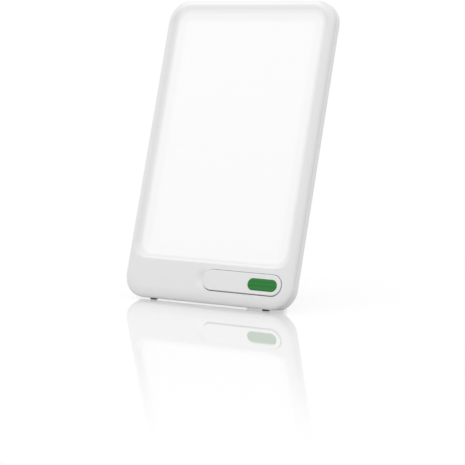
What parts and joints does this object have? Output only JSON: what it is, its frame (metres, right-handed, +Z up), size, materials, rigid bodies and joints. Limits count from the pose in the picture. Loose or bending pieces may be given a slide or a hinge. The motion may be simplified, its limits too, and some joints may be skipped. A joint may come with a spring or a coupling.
{
  "type": "light therapy lamp",
  "caption": "Tablet-shaped daylight lamp with an opal diffuser in a white frame, a pill-shaped rocker key, and a fold-out rear leg.",
  "frame": {"origin": "on the table, under the middle of the open lamp's bounding box", "axes": "+Z up, the lamp's front faces -Y, +X to the right of someone facing the front"},
  "size_m": [0.155, 0.1042, 0.2372],
  "materials": {
    "white_plastic": "satin moulded white",
    "opal_plastic": "satin translucent white, lit from behind",
    "green_plastic": "finely dotted green",
    "dark_rubber": "matte",
    "reflector_white": "matte",
    "board_aluminium": "white-coated",
    "led_phosphor": "yellow phosphor",
    "circuit_board": "lacquered",
    "steel": "plated",
    "nylon": "natural",
    "black_plastic": "moulded",
    "ferrite": "dark ferrite",
    "capacitor_can": "drawn can",
    "brass": "plated",
    "wire_sleeve": "flexible sleeve"
  },
  "bodies": {
    "housing": {"board_screws": "steel", "case_screws": "steel", "control_board": "circuit_board", "dc_jack": "black_plastic", "diffuser": "opal_plastic", "driver_chip": "black_plastic", "front_feet": "dark_rubber", "front_housing": "white_plastic", "hinge_clips": "steel", "hinge_pin": "steel", "hinge_washers": "nylon", "jack_pin": "brass", "key_pin": "steel", "lead_connectors": "nylon", "led_board": "board_aluminium", "led_packages": "led_phosphor", "light_lead": "wire_sleeve", "power_inductor": "ferrite", "rear_housing": "white_plastic", "reflector_tray": "reflector_white", "smoothing_capacitors": "capacitor_can", "switch_board": "circuit_board", "switch_body": "black_plastic", "switch_lead": "wire_sleeve"},
    "key": {"key": "white_plastic", "green_pad": "green_plastic"},
    "plunger": {"switch_plunger": "nylon"},
    "leg": {"leg": "white_plastic", "leg_pad": "dark_rubber"}
  },
  "joints": [
    {"name": "leg_fold", "type": "hinge", "parent": "housing", "child": "leg", "pos_m": [0, 0.01071, 0.14068], "axis": [-1, 0, 0], "range_deg": [0, 28.8]},
    {"name": "key_press", "type": "hinge", "parent": "housing", "child": "key", "pos_m": [0.0025, -0.04285, 0.01971], "axis": [0, 0.284, 0.9588], "range_deg": [0, 2], "stiffness_Nm_per_rad": 0.8, "springref_deg": -1.72},
    {"name": "plunger_travel", "type": "slide", "parent": "housing", "child": "plunger", "axis": [0, 0.9588, -0.284], "range_m": [0, 0.0014]}
  ],
  "couplings": [
    {"joint": "plunger_travel", "follows": "key_press", "m_per_rad": 0.0395}
  ]
}
